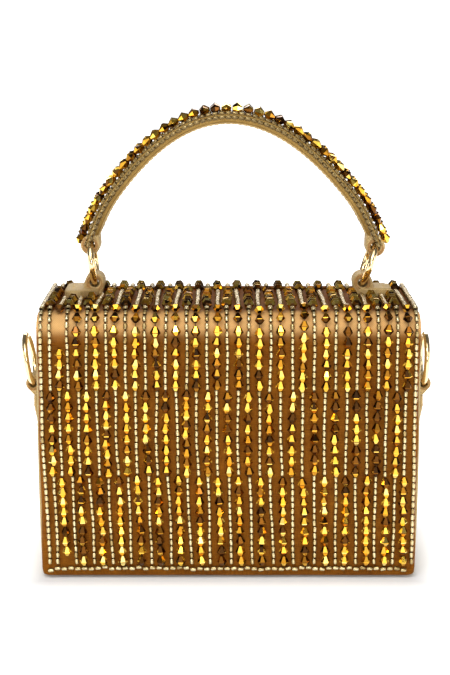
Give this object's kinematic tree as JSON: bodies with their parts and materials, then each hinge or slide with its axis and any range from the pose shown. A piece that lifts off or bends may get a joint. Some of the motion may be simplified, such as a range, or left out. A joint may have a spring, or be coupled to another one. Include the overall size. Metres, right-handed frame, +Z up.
{
  "type": "evening bag",
  "caption": "Boxy gold evening bag with a beaded fold-over flap, an arched beaded top handle on rings, and a ring on each side for a strap.",
  "frame": {"origin": "on the underside of the base, under the middle of the body's width", "axes": "+Z up through the handle, -Y out of the beaded front, +X to the right seen from the front"},
  "size_m": [0.2, 0.0752, 0.2241],
  "materials": {
    "gold_fabric": "woven metallic cloth",
    "pale_fabric": "folded metallic cloth",
    "lining_cloth": "satin",
    "grey_board": "uncoated board",
    "padding": "matte",
    "beads": "faceted, foil-lined amber",
    "gold_metal": "polished",
    "magnet": "plated"
  },
  "bodies": {
    "bag_body": {"base_cover": "gold_fabric", "front_cover": "gold_fabric", "back_cover": "gold_fabric", "left_gusset_cover": "gold_fabric", "right_gusset_cover": "gold_fabric", "base_board": "grey_board", "front_board": "grey_board", "back_board": "grey_board", "left_gusset_board": "grey_board", "right_gusset_board": "grey_board", "base_lining": "lining_cloth", "front_lining": "lining_cloth", "back_lining": "lining_cloth", "left_gusset_lining": "lining_cloth", "right_gusset_lining": "lining_cloth", "inner_pocket": "lining_cloth", "flap_hinge_strip": "gold_fabric", "body_left_magnet": "magnet", "body_right_magnet": "magnet", "left_side_tab": "pale_fabric", "right_side_tab": "pale_fabric"},
    "flap_top": {"flap_top_cover": "gold_fabric", "flap_top_board": "grey_board", "flap_top_lining": "lining_cloth", "top_beadwork": "beads", "left_handle_tab": "pale_fabric", "right_handle_tab": "pale_fabric"},
    "flap_front": {"flap_front_cover": "gold_fabric", "flap_front_board": "grey_board", "flap_front_lining": "lining_cloth", "front_beadwork": "beads", "flap_left_magnet": "magnet", "flap_right_magnet": "magnet"},
    "handle": {"handle_underside": "pale_fabric", "handle_core": "padding", "handle_cover": "gold_fabric", "handle_beadwork": "beads", "left_handle_loop": "pale_fabric", "right_handle_loop": "pale_fabric"},
    "left_handle_ring": {"left_handle_ring": "gold_metal"},
    "right_handle_ring": {"right_handle_ring": "gold_metal"},
    "left_side_ring": {"left_side_ring": "gold_metal"},
    "right_side_ring": {"right_side_ring": "gold_metal"}
  },
  "joints": [
    {"name": "flap_hinge", "type": "hinge", "parent": "bag_body", "child": "flap_top", "pos_m": [0, 0.0376, 0.1268], "axis": [-1, 0, 0], "range_deg": [0, 115]},
    {"name": "flap_fold", "type": "hinge", "parent": "flap_top", "child": "flap_front", "pos_m": [0, -0.03086, 0.12836], "axis": [-1, 0, 0], "range_deg": [0, 75]},
    {"name": "handle_swing", "type": "hinge", "parent": "flap_top", "child": "handle", "pos_m": [0.0022, 0.018, 0.14616], "axis": [1, 0, 0], "range_deg": [-70, 70]},
    {"name": "left_handle_ring_roll", "type": "hinge", "parent": "flap_top", "child": "left_handle_ring", "pos_m": [-0.06698, 0.018, 0.1464], "axis": [1, 0, 0], "range_deg": [-35, 35]},
    {"name": "right_handle_ring_roll", "type": "hinge", "parent": "flap_top", "child": "right_handle_ring", "pos_m": [0.06925, 0.018, 0.14592], "axis": [1, 0, 0], "range_deg": [-35, 35]},
    {"name": "left_side_ring_swing", "type": "hinge", "parent": "bag_body", "child": "left_side_ring", "pos_m": [-0.0954, 0, 0.0901], "axis": [0, -1, 0], "range_deg": [-3, 170]},
    {"name": "right_side_ring_swing", "type": "hinge", "parent": "bag_body", "child": "right_side_ring", "pos_m": [0.0954, 0, 0.0901], "axis": [0, 1, 0], "range_deg": [-3, 170]}
  ],
  "couplings": [
    {"joint": "left_handle_ring_roll", "follows": "handle_swing", "ratio": 0.5},
    {"joint": "right_handle_ring_roll", "follows": "handle_swing", "ratio": 0.5}
  ]
}
